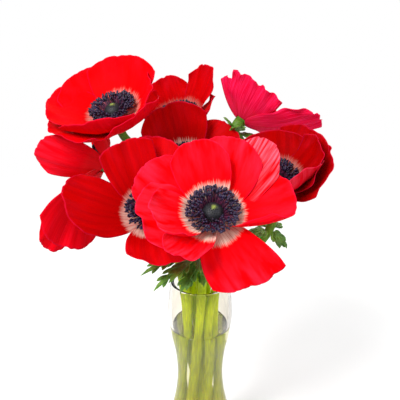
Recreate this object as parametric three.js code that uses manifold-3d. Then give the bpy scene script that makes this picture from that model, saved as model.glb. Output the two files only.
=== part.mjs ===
// Eight red anemones with divided leaves below the blooms, standing in water in a waisted glass vase
import * as THREE from "three";
import { mergeVertices } from "three/addons/utils/BufferGeometryUtils.js";
import Module from "manifold-3d";

const wasm = await Module();
wasm.setup();

// Vase, in millimetres: height and outer radius from the foot up, with a straight-sided rim on top
const VASE_OUTSIDE = [
  [0, 26.2],
  [1.2, 27.6],
  [6, 28.2],
  [18, 26.4],
  [38, 21.3],
  [56, 17.8],
  [74, 16.5],
  [91, 17.7],
  [108, 20.7],
  [124, 22.4],
  [137, 21.7],
  [149.2, 19.9],
];
const VASE_HEIGHT = 150;
const GLASS = 2.2;
const BASE_GLASS = 9;
const FLOOR_ROUND = 9;
const ROUND_STEPS = 24;
const WATER_LEVEL = 115;
const GAP = 0.3;

// Stems: radius, and the rings that they stand in from the vase's floor to its mouth
const STEM_RADIUS = 2.7;
const STEM_SIDES = 6;
const STEM_STEPS = 12;
const STEM_START = 9;
const STEM_FOOT = 10;
const FOOT_RING = 13.6;
const WAIST_RING = 10.4;
const MOUTH_RING = 11.6;
const WAIST_HEIGHT = 76;
const MOUTH_HEIGHT = 143;
const TURN_BETWEEN = 26;

// Petals: thickness, cells of the sheet, and the shape of the outline
const PETAL_THICK = 0.7;
const SHORT_PETAL = 36;
const PETAL_START = 4;
const CLAW_SHARE = 0.2;
const TIP_POWER = 2.8;
const LAYER = 1.1;
const SUM_STEPS = 24;

// Centres: receptacle, dome and stamens
const RECEPTACLE_RADIUS = 5.8;
const RECEPTACLE_TOP = 2.3;
const RECEPTACLE_FOOT = -2;
const DOME_RADIUS = 5.6;
const DOME_HEIGHT = 7.8;
const STAMENS = 10;

// Leaves: thickness, stalk and its half width, and each lobe's spread in degrees and share of the length
const LEAF_THICK = 0.8;
const STALK = 4;
const STALK_HALF = 1.3;
const LOBE_HALF = 2.2;
const DROOP = 0.22;
const LOBES = [
  [-68, 0.6],
  [-34, 0.85],
  [0, 1],
  [34, 0.85],
  [68, 0.6],
];

const RED = 0xd4050c;
const DARK = 0x120c1c;
const GREEN = 0x4f7d2a;
const GLASS_COLOUR = 0xdfe6dc;
const WATER_COLOUR = 0xc9d8c4;

const radians = (degrees) => (degrees * Math.PI) / 180;
const mix = (a, b, share) => a + (b - a) * share;

// A repeatable number between 0 and 1
function chance(seed) {
  const wave = Math.sin(seed * 127.1 + 311.7) * 43758.5453;
  return wave - Math.floor(wave);
}

// A closed geometry as a solid with its faces outwards
function solid(geometry) {
  const bare = new THREE.BufferGeometry();
  bare.setAttribute("position", geometry.getAttribute("position"));
  bare.setIndex(geometry.getIndex());
  const merged = mergeVertices(bare, 1e-4);
  const corners = merged.getIndex().array;
  const faces = [];
  for (let i = 0; i < corners.length; i += 3) {
    const [a, b, c] = corners.slice(i, i + 3);
    if (a !== b && b !== c && c !== a) faces.push([a, b, c]);
  }
  const vertProperties = merged.getAttribute("position").array;
  const build = (order) => {
    const triVerts = new Uint32Array(faces.map(order).flat());
    return new wasm.Manifold(new wasm.Mesh({ numProp: 3, vertProperties, triVerts }));
  };
  const made = build((face) => face);
  return made.volume() > 0 ? made : build(([a, b, c]) => [a, c, b]);
}

// Several solids as one body, with any hollow that the joining sealed filled in
function fused(pieces) {
  const whole = wasm.Manifold.union(pieces);
  const bodies = whole.decompose().sort((a, b) => b.volume() - a.volume());
  return bodies[0];
}

// A body turned round the upright axis from a profile of [height, radius]
function turned(profile, steps) {
  const points = profile.map(([height, radius]) => new THREE.Vector2(radius, height));
  return solid(new THREE.LatheGeometry(points, steps).rotateX(Math.PI / 2));
}

// A round bar along a curve
function bar(curve, radius, steps) {
  const outline = [];
  for (let k = 0; k < STEM_SIDES; k++) {
    const angle = (2 * Math.PI * k) / STEM_SIDES;
    outline.push(new THREE.Vector2(radius * Math.cos(angle), radius * Math.sin(angle)));
  }
  const options = { steps, extrudePath: curve };
  return solid(new THREE.ExtrudeGeometry(new THREE.Shape(outline), options));
}

// A closed sheet of even thickness around a grid of points, with both faces split alike
function sheet(grid, thick) {
  const rows = grid.length;
  const cols = grid[0].length;
  const upper = [];
  const lower = [];
  grid.forEach((row, i) => {
    row.forEach((point, j) => {
      const along = grid[Math.min(i + 1, rows - 1)][j].clone().sub(grid[Math.max(i - 1, 0)][j]);
      const across = row[Math.min(j + 1, cols - 1)].clone().sub(row[Math.max(j - 1, 0)]);
      const half = along.cross(across).setLength(thick / 2);
      upper.push(point.clone().add(half));
      lower.push(point.clone().sub(half));
    });
  });
  const under = rows * cols;
  const faces = [];
  const quad = (a, b, c, d) => faces.push(a, b, c, a, c, d);
  for (let i = 0; i < rows - 1; i++) {
    for (let j = 0; j < cols - 1; j++) {
      const a = i * cols + j;
      const b = a + cols;
      quad(a, b, b + 1, a + 1);
      faces.push(a + under, b + 1 + under, b + under, a + under, a + 1 + under, b + 1 + under);
    }
    const left = i * cols;
    const right = left + cols - 1;
    quad(left + cols, left, left + under, left + cols + under);
    quad(right, right + cols, right + cols + under, right + under);
  }
  for (let j = 0; j < cols - 1; j++) {
    const end = (rows - 1) * cols + j;
    quad(j, j + 1, j + 1 + under, j + under);
    quad(end + 1, end, end + under, end + 1 + under);
  }
  return solid(new THREE.BufferGeometry().setFromPoints([...upper, ...lower]).setIndex(faces));
}

// Midrib of a petal: distance from the axis, height and slope, summed up step by step
function midrib(petal) {
  const rib = [{ out: PETAL_START, up: petal.layer * LAYER, slope: radians(petal.rise) }];
  for (let k = 1; k <= SUM_STEPS; k++) {
    const share = k / SUM_STEPS;
    const fold = petal.fold * Math.max(0, (share - 0.6) / 0.4) ** 1.5;
    const slope = radians(mix(petal.rise, petal.end, share) + fold);
    const before = rib[k - 1];
    const middle = (slope + before.slope) / 2;
    const step = petal.long / SUM_STEPS;
    const out = before.out + step * Math.cos(middle);
    rib.push({ out, up: before.up + step * Math.sin(middle), slope });
  }
  return rib;
}

function onRib(rib, share) {
  const place = Math.min(share * SUM_STEPS, SUM_STEPS - 1e-9);
  const k = Math.floor(place);
  const [a, b] = [rib[k], rib[k + 1]];
  const at = (key) => mix(a[key], b[key], place - k);
  return { out: at("out"), up: at("up"), slope: at("slope") };
}

// Sideways and upward distance from the midrib: the section leans more and more towards the margin
function section(petal, share, across, half) {
  let side = 0;
  let rise = 0;
  for (let k = 0; k < SUM_STEPS; k++) {
    const t = (across * (k + 0.5)) / SUM_STEPS;
    const margin = Math.max(0, (Math.abs(t) - 0.35) / 0.65) ** 1.5;
    const curl = across > 0 ? petal.curlLeft : petal.curlRight;
    const lean = radians(petal.cup * t + Math.sign(t) * margin * curl * Math.sqrt(share));
    side += Math.cos(lean) / SUM_STEPS;
    rise += Math.sin(lean) / SUM_STEPS;
  }
  return { side: half * across * side, rise: half * across * rise };
}

function petalPoint(petal, rib, share, across) {
  const reach = share * (1 - petal.tip * Math.abs(across) ** TIP_POWER);
  const half = (petal.wide / 2) * mix(CLAW_SHARE, 1, Math.sin((Math.PI / 2) * share ** 0.7));
  const at = onRib(rib, reach);
  const { side, rise } = section(petal, share, across, half);
  const margin = Math.abs(across) ** 3 * share;
  const ruffle = margin * Math.sin(Math.PI * petal.waves * share + 1.3 * Math.sign(across));
  const scallop = share ** 5 * Math.sin(Math.PI * petal.waves * across);
  const height = rise + petal.wave * (ruffle + scallop);
  const twist = radians(petal.twist) * reach;
  const left = side * Math.cos(twist) - height * Math.sin(twist) + petal.bend * reach ** 2;
  const above = side * Math.sin(twist) + height * Math.cos(twist);
  const out = at.out - Math.sin(at.slope) * above;
  const up = at.up + Math.cos(at.slope) * above;
  const turn = radians(petal.turn);
  return new THREE.Vector3(
    out * Math.cos(turn) - left * Math.sin(turn),
    out * Math.sin(turn) + left * Math.cos(turn),
    up,
  );
}

const PLAIN_PETAL = {
  layer: 0,
  cup: 22,
  bend: 0,
  twist: 0,
  fold: 0,
  wave: 1,
  waves: 2,
  curlLeft: 0,
  curlRight: 0,
  tip: 0.27,
};

function petalSolid(given) {
  const petal = { ...PLAIN_PETAL, ...given };
  const rib = midrib(petal);
  const cells = petal.long < SHORT_PETAL ? 3 : 4;
  const grid = [];
  for (let i = 0; i <= cells; i++) {
    const row = [];
    for (let j = 0; j <= cells; j++) {
      row.push(petalPoint(petal, rib, i / cells, (2 * j) / cells - 1));
    }
    grid.push(row);
  }
  return sheet(grid, PETAL_THICK);
}

function petals(bloom) {
  const receptacle = turned(
    [
      [RECEPTACLE_FOOT, 0],
      [RECEPTACLE_FOOT, RECEPTACLE_RADIUS],
      [RECEPTACLE_TOP, RECEPTACLE_RADIUS],
      [RECEPTACLE_TOP, 0],
    ],
    7,
  );
  return fused([receptacle, ...bloom.petals.map(petalSolid)]);
}

// A stamen: a thin filament with a club-shaped anther, from the foot of the dome
function stamen(turn, reach, top) {
  const root = new THREE.Vector3(3.4, 0, RECEPTACLE_TOP + GAP + 1.6);
  const tip = new THREE.Vector3(reach, 0, top);
  const long = tip.distanceTo(root);
  const profile = [
    [0, 0],
    [0, 0.5],
    [long - 2.4, 0.5],
    [long - 1, 1.15],
    [long, 0],
  ];
  const upright = new THREE.Vector3(0, 0, 1);
  const lean = new THREE.Quaternion().setFromUnitVectors(upright, tip.sub(root).normalize());
  const place = new THREE.Matrix4().makeRotationZ(radians(turn));
  place.multiply(new THREE.Matrix4().compose(root, lean, new THREE.Vector3(1, 1, 1)));
  return turned(profile, 3).transform(place.elements);
}

// Dark dome of pistils with two rings of stamens that lean out from its foot
function centre(seed) {
  const foot = RECEPTACLE_TOP + GAP;
  const dome = [
    [foot, 0],
    [foot, 3.6],
    [foot + 1.6, DOME_RADIUS - 0.4],
    [foot + 4.4, DOME_RADIUS],
    [foot + 6.8, DOME_RADIUS * 0.6],
    [foot + DOME_HEIGHT, 0],
  ];
  const pieces = [turned(dome, 9)];
  for (let k = 0; k < STAMENS; k++) {
    const turn = (360 * (k + 0.3 * chance(seed + k))) / STAMENS;
    const inner = k % 2;
    const reach = (inner ? 10.4 : 14.2) + 1.4 * chance(seed + k + 40);
    const top = foot + (inner ? 8.4 : 6.6) + chance(seed + k + 80);
    pieces.push(stamen(turn, reach, top));
  }
  return fused(pieces);
}

// Outline of a leaf cut into narrow pointed lobes that spread from the end of its stalk
function leafOutline(long) {
  const points = [new THREE.Vector2(0, -STALK_HALF), new THREE.Vector2(STALK, -STALK_HALF)];
  LOBES.forEach(([spread, share], k) => {
    const angle = radians(spread);
    const ahead = new THREE.Vector2(Math.cos(angle), Math.sin(angle));
    const aside = new THREE.Vector2(-ahead.y, ahead.x);
    const at = (far, side) => {
      const point = ahead.clone().multiplyScalar(long * share * far);
      point.addScaledVector(aside, side).x += STALK;
      return point;
    };
    points.push(at(0.6, -LOBE_HALF), at(1, 0), at(0.6, LOBE_HALF));
    if (k < LOBES.length - 1) {
      const notch = radians((spread + LOBES[k + 1][0]) / 2);
      const deep = 0.26 * long;
      points.push(new THREE.Vector2(STALK + deep * Math.cos(notch), deep * Math.sin(notch)));
    }
  });
  points.push(new THREE.Vector2(STALK, STALK_HALF), new THREE.Vector2(0, STALK_HALF));
  return new THREE.Shape(points);
}

// A leaf of the whorl below a bloom, arched down towards its tips
function leaf(root, turn, lean, long) {
  const options = { depth: LEAF_THICK, steps: 1, bevelEnabled: false };
  const blade = new THREE.ExtrudeGeometry(leafOutline(long), options);
  const position = blade.getAttribute("position");
  for (let i = 0; i < position.count; i++) {
    const far = Math.hypot(position.getX(i), position.getY(i)) / long;
    position.setZ(i, position.getZ(i) - LEAF_THICK / 2 - DROOP * long * far ** 2);
  }
  blade.rotateY(-radians(lean));
  blade.rotateZ(radians(turn));
  blade.translate(root.x, root.y, root.z);
  return solid(blade);
}

// Turns a bloom's own frame (right, up, axis) to the way that it faces, and moves it to its place
function bloomMatrix(bloom) {
  const heading = radians(bloom.heading);
  const raised = radians(bloom.raised);
  const level = new THREE.Vector3(Math.sin(heading), -Math.cos(heading), 0);
  const axis = level.clone().multiplyScalar(Math.cos(raised)).setZ(Math.sin(raised));
  const up = level.clone().multiplyScalar(-Math.sin(raised)).setZ(Math.cos(raised));
  const right = up.clone().cross(axis);
  return new THREE.Matrix4().makeBasis(right, up, axis).setPosition(...bloom.at);
}

// Line of a stem: from the vase's floor past its waist and out of its mouth to the underside of the bloom
function stemCurve(bloom) {
  const matrix = bloomMatrix(bloom);
  const below = (far) => new THREE.Vector3(0, 0, RECEPTACLE_FOOT - far).applyMatrix4(matrix);
  const ring = (radius, turn, height) => {
    const angle = radians(bloom.slot + turn);
    const far = bloom.central ? 0 : radius;
    return new THREE.Vector3(far * Math.cos(angle), far * Math.sin(angle), height);
  };
  return new THREE.CatmullRomCurve3([
    ring(FOOT_RING, -2 * TURN_BETWEEN, STEM_START),
    ring(WAIST_RING, -TURN_BETWEEN, WAIST_HEIGHT),
    ring(MOUTH_RING, 0, MOUTH_HEIGHT),
    ...bloom.way.map((place) => new THREE.Vector3(...place)),
    below(bloom.neck),
    below(GAP),
  ]);
}

function stem(bloom) {
  const curve = stemCurve(bloom);
  const joints = curve.getSpacedPoints(STEM_STEPS);
  const onStem = (share) => {
    const k = Math.floor(share * STEM_STEPS);
    return joints[k].clone().lerp(joints[k + 1], share * STEM_STEPS - k);
  };
  const pieces = [bar(curve, STEM_RADIUS, STEM_STEPS)];
  bloom.leaves.forEach(([place, turn, lean, long]) => {
    pieces.push(leaf(onStem(place), turn, lean, long));
  });
  return fused(pieces).trimByPlane([0, 0, 1], STEM_FOOT);
}

// Blooms: place of the receptacle, the way that each faces, the stem's slot and way, its leaves and its petals.
// A petal's turn runs round the bloom from its right side, and rise and end are its slopes at claw and tip.
const BLOOMS = [
  {
    name: "front",
    at: [6.9, -62, 227.2],
    heading: 0,
    raised: 57,
    slot: 275,
    way: [[3, -28, 182]],
    neck: 16,
    leaves: [
      [0.84, 201, -2, 39],
      [0.82, 208, -15, 36],
      [0.8, 231, -29, 22],
    ],
    petals: [
      { turn: 102, long: 39, wide: 34, rise: 20, end: 45, layer: 1.2, bend: 1.5, twist: -8, curlRight: 40 },
      { turn: 73, long: 42, wide: 38, rise: 17, end: 42, layer: 0, cup: 15 },
      { turn: 48, long: 49, wide: 30, rise: 15, end: 44, layer: -1.2, cup: 15 },
      { turn: 3, long: 42, wide: 40, rise: 9, end: 35, layer: 0.9, cup: 13, curlRight: 170 },
      { turn: -68, long: 39, wide: 40, rise: 6, end: -35, layer: -0.5, cup: 5, bend: 7, wave: 1.8, waves: 2.5, tip: 0.12 },
      { turn: -122, long: 38, wide: 28, rise: 2, end: 50, layer: 0.9, curlLeft: 50, curlRight: 50 },
      { turn: 191, long: 39, wide: 44, rise: 6, end: 40, layer: -0.2, cup: 19, wave: 2 },
      { turn: 200, long: 38, wide: 34, rise: 14, end: 62, layer: 1.2, cup: 28, twist: -8, curlLeft: 60 },
      { turn: 150, long: 44, wide: 40, rise: 8, end: 26, layer: -1.2, cup: 23, wave: 1.8 },
    ],
  },
  {
    name: "top_left",
    at: [-52.5, 12, 261],
    heading: -35,
    raised: 66,
    slot: 120,
    way: [
      [-16, 22, 184],
      [-32, 26, 226],
    ],
    neck: 14,
    leaves: [
      [0.8, 150, 10, 22],
      [0.8, 30, 0, 18],
      [0.8, 260, 0, 18],
    ],
    petals: [
      { turn: 103, long: 37, wide: 50, rise: 22, end: 62, layer: 0.8 },
      { turn: 161, long: 39, wide: 48, rise: 14, end: 54, layer: -0.8, cup: 28 },
      { turn: 213, long: 40, wide: 44, rise: 15, end: 43, layer: 0.8, wave: 1.5 },
      { turn: 255, long: 41, wide: 46, rise: 2, end: 46, layer: -0.8 },
      { turn: 290, long: 38, wide: 52, rise: -10, end: 84, layer: 0.8, cup: 30, twist: 8 },
      { turn: 345, long: 35, wide: 44, rise: -12, end: 76, layer: -0.8 },
      { turn: 40, long: 32, wide: 44, rise: 10, end: 66, layer: 0 },
    ],
  },
  {
    name: "left",
    at: [-29, -34, 215],
    heading: 5,
    raised: 55,
    slot: 222,
    way: [[-15, -17, 182]],
    neck: 14,
    leaves: [
      [0.84, 190, -10, 18],
      [0.84, 70, -10, 16],
      [0.85, 315, 20, 10],
    ],
    petals: [
      { turn: 112, long: 43, wide: 34, rise: 20, end: 48, layer: 0.8, cup: 18, tip: 0.1 },
      { turn: 83, long: 45, wide: 40, rise: 14, end: 38, layer: -0.8, bend: 1.5 },
      { turn: 178, long: 51, wide: 42, rise: 8, end: 48, layer: -0.4, cup: 12, twist: 8 },
      { turn: 279, long: 37, wide: 40, rise: 6, end: 32, layer: 0.8, cup: 14, bend: 2, twist: -10 },
      { turn: 320, long: 30, wide: 34, rise: -2, end: 18, layer: -0.8, cup: 15 },
      { turn: 30, long: 32, wide: 38, rise: 20, end: 60, layer: 0.6 },
    ],
  },
  {
    name: "middle",
    at: [-8.6, 18, 224.7],
    heading: 0,
    raised: 60,
    slot: 0,
    central: true,
    way: [[0, 3, 182]],
    neck: 12,
    leaves: [
      [0.84, 60, 0, 16],
      [0.84, 180, 0, 16],
      [0.84, 300, 0, 16],
    ],
    petals: [
      { turn: 113, long: 41, wide: 48, rise: 24, end: 66, layer: 0.8, cup: 31 },
      { turn: 43, long: 38, wide: 36, rise: 14, end: 26, layer: -0.8, bend: -1 },
      { turn: 180, long: 32, wide: 38, rise: 12, end: 70, layer: -0.8 },
      { turn: 240, long: 26, wide: 34, rise: 14, end: 76, layer: 0.8 },
      { turn: 300, long: 26, wide: 34, rise: 6, end: 70, layer: -0.4 },
    ],
  },
  {
    name: "right",
    at: [46, -12, 225],
    heading: -20,
    raised: 62,
    slot: 326,
    way: [[44, -13, 195]],
    neck: 12,
    leaves: [
      [0.86, 330, -30, 12],
      [0.86, 80, 0, 16],
      [0.86, 200, 0, 13],
    ],
    petals: [
      { turn: 110, long: 31, wide: 48, rise: 18, end: 60, layer: 0.8, cup: 30 },
      { turn: 52, long: 39, wide: 46, rise: 18, end: 58, layer: -0.8, cup: 24 },
      { turn: 16, long: 40, wide: 40, rise: 20, end: 80, layer: 0.8, cup: 26 },
      { turn: 313, long: 41, wide: 50, rise: 24, end: 88, layer: 0.6, cup: 28 },
      { turn: 250, long: 37, wide: 40, rise: 20, end: 94, layer: -0.6, cup: 30 },
      { turn: 6, long: 42, wide: 43, rise: 10, end: 70, layer: -0.8, cup: 22 },
      { turn: 182, long: 33, wide: 40, rise: 14, end: 80, layer: 0, cup: 26 },
    ],
  },
  {
    name: "top_right",
    at: [28.4, 40, 251],
    heading: 125,
    raised: 40,
    slot: 17,
    way: [
      [23, 25, 190],
      [31, 44, 228],
    ],
    neck: 6,
    leaves: [
      [0.965, 190, 60, 10],
      [0.96, 276, 46, 10],
      [0.95, 22, 0, 10],
    ],
    petals: [
      { turn: 127, long: 32, wide: 39, rise: 14, end: 54, layer: -0.4, wave: 1.8, waves: 4, tip: 0.1 },
      { turn: 204, long: 52, wide: 38, rise: 14, end: 58, layer: -1.2, wave: 1.5, waves: 4 },
      { turn: 50, long: 29, wide: 34, rise: 16, end: 48, layer: -0.8, cup: 30 },
      { turn: 158, long: 22, wide: 36, rise: 20, end: 66, layer: 0.8 },
      { turn: 275, long: 38, wide: 40, rise: 14, end: 66, layer: -0.8 },
      { turn: 330, long: 38, wide: 36, rise: 22, end: 66, layer: 0.8 },
    ],
  },
  {
    name: "far_left",
    at: [-62, 11, 229.5],
    heading: -108,
    raised: 25,
    slot: 171,
    way: [
      [-19, 2, 180],
      [-35, 5, 205],
    ],
    neck: 12,
    leaves: [
      [0.86, 110, 0, 18],
      [0.86, 200, 0, 18],
      [0.86, 300, -10, 16],
    ],
    petals: [
      { turn: 11, long: 46, wide: 28, rise: 24, end: 82, layer: -0.8, cup: 20 },
      { turn: 302, long: 55, wide: 49, rise: 1, end: -15, layer: 0.4, cup: 15, twist: 50 },
      { turn: 289, long: 66, wide: 31, rise: 10, end: 4, layer: -1, cup: 10, twist: 50 },
      { turn: 108, long: 25, wide: 32, rise: 14, end: 66, layer: 0.8 },
      { turn: 175, long: 32, wide: 36, rise: 20, end: 66, layer: 0.8 },
      { turn: 235, long: 32, wide: 34, rise: 20, end: 60, layer: -0.4 },
    ],
  },
  {
    name: "back",
    at: [-14, 62, 242],
    heading: -30,
    raised: 66,
    slot: 68,
    way: [
      [1, 36, 180],
      [-5, 60, 210],
    ],
    neck: 14,
    leaves: [
      [0.84, 50, 0, 20],
      [0.84, 150, 0, 20],
      [0.84, 280, 10, 18],
    ],
    petals: [
      { turn: 66, long: 43, wide: 27, rise: 24, end: 70, layer: 0.8, cup: 30, bend: -2 },
      { turn: 136, long: 35, wide: 32, rise: 20, end: 78, layer: -0.8, cup: 26 },
      { turn: 5, long: 33.5, wide: 34, rise: 14, end: 68, layer: -0.8 },
      { turn: 190, long: 30, wide: 34, rise: 16, end: 80, layer: 0.8 },
      { turn: 245, long: 22, wide: 30, rise: 5, end: 70, layer: -0.8 },
      { turn: 305, long: 22, wide: 30, rise: 8, end: 70, layer: 0.8 },
    ],
  },
];

// Inner radius of the vase at a height
function insideRadius(height) {
  const k = VASE_OUTSIDE.findIndex((point) => point[0] >= height);
  const [h0, r0] = VASE_OUTSIDE[k - 1];
  const [h1, r1] = VASE_OUTSIDE[k];
  return mix(r0, r1, (height - h0) / (h1 - h0)) - GLASS;
}

// Profile of the room inside the vase, shrunk by a gap, from the middle of its rounded floor up to a level
function insideProfile(gap, level) {
  const floor = BASE_GLASS + gap;
  const profile = [[floor, 0]];
  for (let k = 0; k <= 3; k++) {
    const angle = (Math.PI / 2) * (k / 3);
    const radius = insideRadius(floor + FLOOR_ROUND) - gap - FLOOR_ROUND * (1 - Math.sin(angle));
    profile.push([floor + FLOOR_ROUND * (1 - Math.cos(angle)), radius]);
  }
  VASE_OUTSIDE.forEach(([height]) => {
    const between = height > floor + FLOOR_ROUND + 2 && height < level - 3;
    if (between) profile.push([height, insideRadius(height) - gap]);
  });
  profile.push([level, insideRadius(level) - gap]);
  return profile;
}

// Vase: one wall with a rounded rim, a thick base and a flat foot
function vase() {
  const lip = VASE_OUTSIDE[VASE_OUTSIDE.length - 1][1];
  const room = insideProfile(0, 149.2);
  const rim = [
    [VASE_HEIGHT, lip - 0.6],
    [VASE_HEIGHT, lip - GLASS + 0.6],
  ];
  return turned([[0, 0], ...VASE_OUTSIDE, ...rim, ...room.reverse()], ROUND_STEPS);
}

// Water: fills the room up to its level, with a plain hole for each stem
function water() {
  const holes = BLOOMS.map((bloom) => bar(stemCurve(bloom), STEM_RADIUS + 2 * GAP, STEM_STEPS));
  const body = turned([...insideProfile(GAP, WATER_LEVEL), [WATER_LEVEL, 0]], ROUND_STEPS);
  return body.subtract(wasm.Manifold.union(holes));
}

// Adds a body to a group as a named mesh with a colour and roughness of its own
function add(parent, name, body, color, roughness) {
  const { vertProperties, triVerts } = body.getMesh();
  const geometry = new THREE.BufferGeometry();
  geometry.setAttribute("position", new THREE.BufferAttribute(vertProperties, 3));
  geometry.setIndex(new THREE.BufferAttribute(triVerts, 1));
  const material = new THREE.MeshStandardMaterial({ color, roughness, metalness: 0 });
  const mesh = new THREE.Mesh(geometry, material);
  mesh.name = name;
  parent.add(mesh);
}

const bouquet = new THREE.Group();
bouquet.name = "anemone_bouquet";
add(bouquet, "vase", vase(), GLASS_COLOUR, 0.05);
add(bouquet, "water", water(), WATER_COLOUR, 0.05);
BLOOMS.forEach((bloom, i) => {
  const head = new THREE.Group();
  head.name = "bloom_" + bloom.name;
  head.applyMatrix4(bloomMatrix(bloom));
  add(head, "petals_" + bloom.name, petals(bloom), RED, 0.55);
  add(head, "centre_" + bloom.name, centre(100 * i), DARK, 0.7);
  bouquet.add(head);
  add(bouquet, "stem_" + bloom.name, stem(bloom), GREEN, 0.6);
});

export default bouquet;
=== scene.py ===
# Eight red anemones with cut green leaves, standing in water in a waisted glass vase.
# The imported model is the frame: metres, +Z up, with the middle of the vase's foot at the origin.
import bpy
import numpy as np
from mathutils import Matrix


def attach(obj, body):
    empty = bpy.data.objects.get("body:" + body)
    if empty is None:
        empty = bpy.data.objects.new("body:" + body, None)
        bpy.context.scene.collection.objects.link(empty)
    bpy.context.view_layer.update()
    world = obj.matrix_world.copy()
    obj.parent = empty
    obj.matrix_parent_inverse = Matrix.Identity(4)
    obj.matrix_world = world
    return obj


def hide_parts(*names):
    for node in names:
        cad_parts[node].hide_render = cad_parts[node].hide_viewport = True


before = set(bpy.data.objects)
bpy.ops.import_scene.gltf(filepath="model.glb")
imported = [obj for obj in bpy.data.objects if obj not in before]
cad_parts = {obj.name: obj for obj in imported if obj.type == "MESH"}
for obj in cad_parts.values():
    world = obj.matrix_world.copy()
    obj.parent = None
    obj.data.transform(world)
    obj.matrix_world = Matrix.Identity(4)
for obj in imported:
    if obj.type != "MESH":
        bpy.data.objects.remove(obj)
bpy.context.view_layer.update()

# ---- Glass vase
# One piece of clear moulded glass with a thick base, a waist and a rounded rim.
# Its wall is 2.2 mm thick and faintly wavy, as the mould leaves it, with a slight warm tint.
# Heights and outer radii from the foot up, in millimetres as all sizes here are:
VASE_OUTSIDE = np.array([
    (0, 26.2), (1.2, 27.6), (6, 28.2), (18, 26.4), (38, 21.3), (56, 17.8), (74, 16.5),
    (91, 17.7), (108, 20.7), (124, 22.4), (137, 21.7), (149.2, 19.9),
])
VASE_HEIGHT = 150.0
GLASS = 2.2
BASE_GLASS = 9.0
FLOOR_ROUND = 9.0
FOOT_EDGE = [(0, 25.4), (0.25, 26.6), (0.6, 27.2)]
FOOT_BEND, FOOT_WIDEST = 1.2, 6
VASE_AROUND = 128
GLASS_TINT = (0.95, 0.92, 0.85)
GLASS_INDEX = 1.35


def wall_radius(height):
    """Outer radius of the wall: a cubic through the listed points, whose slope at each is the mean slope
    beside it."""
    x, y = VASE_OUTSIDE[1:].T
    slope = np.gradient(y, x)
    k = np.clip(np.searchsorted(x, height) - 1, 0, len(x) - 2)
    step = x[k + 1] - x[k]
    s = (height - x[k]) / step
    ends = y[k] * (1 + 2 * s) * (1 - s) ** 2 + y[k + 1] * s * s * (3 - 2 * s)
    return ends + step * s * (1 - s) * (slope[k] * (1 - s) - slope[k + 1] * s)


def turned(profile, around):
    """Rings of points of a profile of (height, radius): at each height, the radius times the cosine and the
    sine of the turn."""
    turn = np.linspace(0, 2 * np.pi, around, endpoint=False)
    height, radius = profile[:, :1], profile[:, 1:]
    rings = [radius * np.cos(turn), radius * np.sin(turn), height + 0 * turn]
    return np.stack(rings, axis=-1)


def ring_faces(rings, around):
    """Four-sided faces between neighbouring rings, and a fan at both ends to the two points that follow
    the rings."""
    i = np.arange(rings - 1)[:, None] * around
    j = np.arange(around)
    after = (j + 1) % around
    sides = np.stack([i + j, i + after, i + around + after, i + around + j], axis=-1).reshape(-1, 4)
    last = (rings - 1) * around
    low, high = rings * around, rings * around + 1
    foot = np.stack([np.full(around, low), after, j], axis=-1)
    top = np.stack([last + j, last + after, np.full(around, high)], axis=-1)
    return sides.tolist() + foot.tolist() + top.tolist()


def new_piece(name, points, faces, finish):
    """A smooth mesh object from points in millimetres, at the origin, with its place in its mesh."""
    mesh = bpy.data.meshes.new(name)
    mesh.from_pydata((np.asarray(points).reshape(-1, 3) / 1000).tolist(), [], faces)
    mesh.polygons.foreach_set("use_smooth", np.ones(len(mesh.polygons), dtype=bool))
    mesh.materials.append(finish)
    piece = bpy.data.objects.new(name, mesh)
    bpy.context.scene.collection.objects.link(piece)
    return piece


def new_finish(name, color, roughness):
    """A material with one surface shader. Returns the material, its nodes, its links and the shader."""
    material = bpy.data.materials.new(name)
    material.use_nodes = True
    nodes, links = material.node_tree.nodes, material.node_tree.links
    shader = nodes["Principled BSDF"]
    shader.inputs["Base Color"].default_value = (*color, 1)
    shader.inputs["Roughness"].default_value = roughness
    return material, nodes, links, shader


def noise_in_place(nodes, links, scale, detail, stretch=(1, 1, 1)):
    """Cloudy noise from 0 to 1 on the piece's own coordinates, each multiplied by its stretch."""
    place = nodes.new("ShaderNodeTexCoord")
    mapping = nodes.new("ShaderNodeMapping")
    mapping.inputs["Scale"].default_value = stretch
    links.new(place.outputs["Object"], mapping.inputs["Vector"])
    cloud = nodes.new("ShaderNodeTexNoise")
    cloud.inputs["Scale"].default_value = scale
    cloud.inputs["Detail"].default_value = detail
    links.new(mapping.outputs["Vector"], cloud.inputs["Vector"])
    return cloud.outputs["Fac"]


def add_bump(nodes, links, shader, height, strength, distance):
    """Shades the surface as if the height from 0 to 1 were raised on it by the distance, in metres."""
    bump = nodes.new("ShaderNodeBump")
    bump.inputs["Strength"].default_value = strength
    bump.inputs["Distance"].default_value = distance
    links.new(height, bump.inputs["Height"])
    links.new(bump.outputs["Normal"], shader.inputs["Normal"])


def room_profile(level, gap):
    """Profile of the room inside the vase: a rounded floor, then the wall less its thickness, all moved
    out by a gap."""
    quarter = np.linspace(0, np.pi / 2, 12)
    floor = BASE_GLASS - gap
    corner = wall_radius(BASE_GLASS + FLOOR_ROUND) - GLASS + gap
    rounded = np.stack([
        floor + FLOOR_ROUND * (1 - np.cos(quarter)),
        corner - FLOOR_ROUND * (1 - np.sin(quarter)),
    ], axis=-1)
    height = np.linspace(BASE_GLASS + FLOOR_ROUND + 1, level, 60)
    wall = np.stack([height, wall_radius(height) - GLASS + gap], axis=-1)
    return np.concatenate([rounded, wall])


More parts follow.
